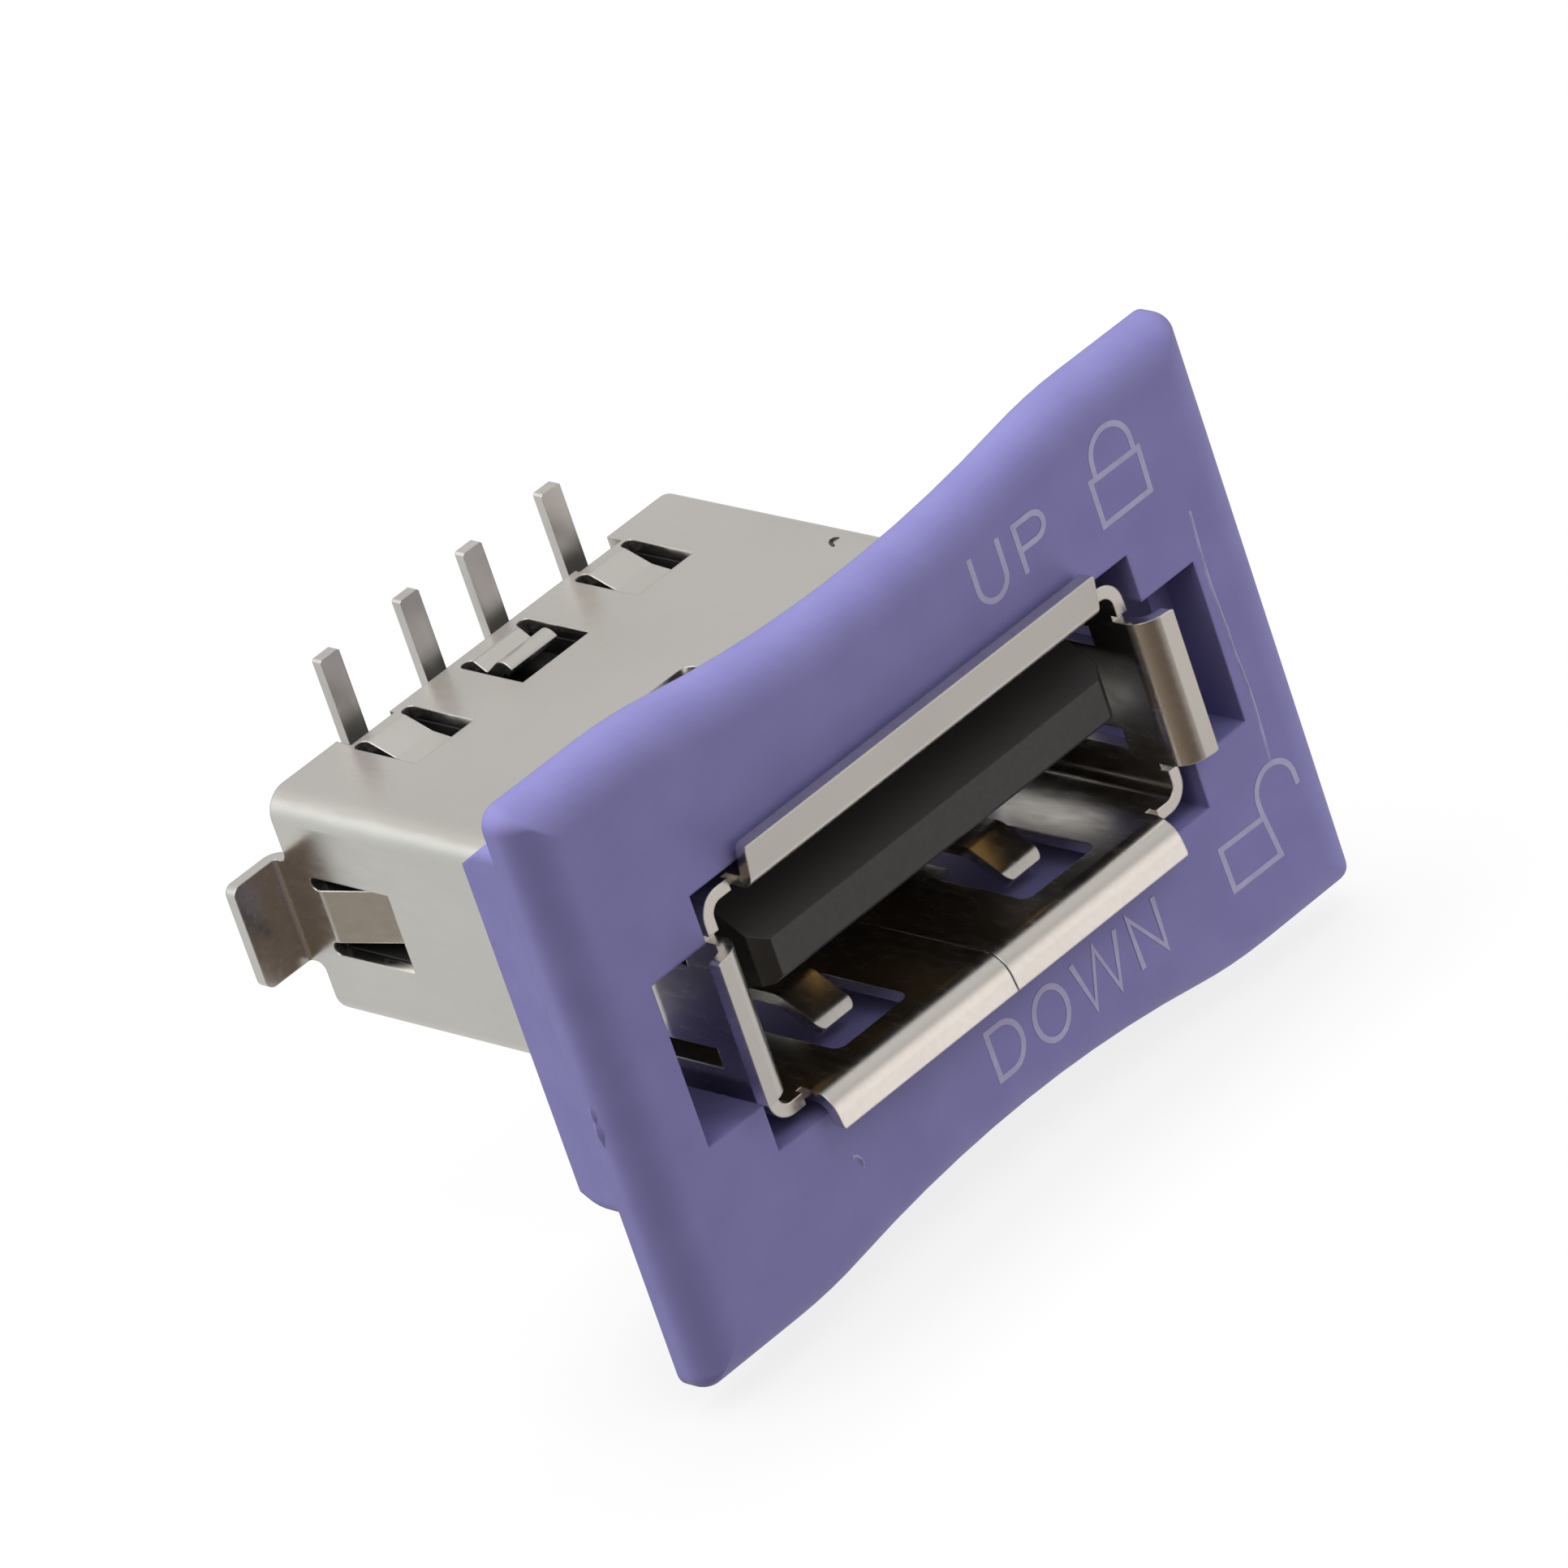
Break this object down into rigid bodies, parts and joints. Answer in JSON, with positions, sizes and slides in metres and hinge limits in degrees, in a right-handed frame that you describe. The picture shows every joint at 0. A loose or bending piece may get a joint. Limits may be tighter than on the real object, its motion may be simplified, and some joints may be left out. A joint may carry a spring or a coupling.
{
  "type": "usb connector",
  "caption": "Board-mounted USB-A receptacle with a folded metal shell, contact tails, and a violet bezel that slides up or down round the mouth to lock the plug.",
  "frame": {"origin": "middle of the mouth, in the plane of the shell's plain front edge", "axes": "+X to the right seen from the mouth, +Y to the rear, +Z to the side that faces the board"},
  "size_m": [0.021, 0.0153, 0.0144],
  "materials": {
    "plated_steel": "satin",
    "black_plastic": "matte",
    "tinned_brass": "satin",
    "violet_plastic": "matte"
  },
  "bodies": {
    "receptacle": {"shell": "plated_steel", "insulator": "black_plastic", "contact_1": "tinned_brass", "contact_2": "tinned_brass", "contact_3": "tinned_brass", "contact_4": "tinned_brass"},
    "slide": {"lock_slide": "violet_plastic"}
  },
  "joints": [
    {"name": "lock_travel", "type": "slide", "parent": "receptacle", "child": "slide", "axis": [0, 0, 1], "range_m": [-0.0003, 0.0003]}
  ]
}
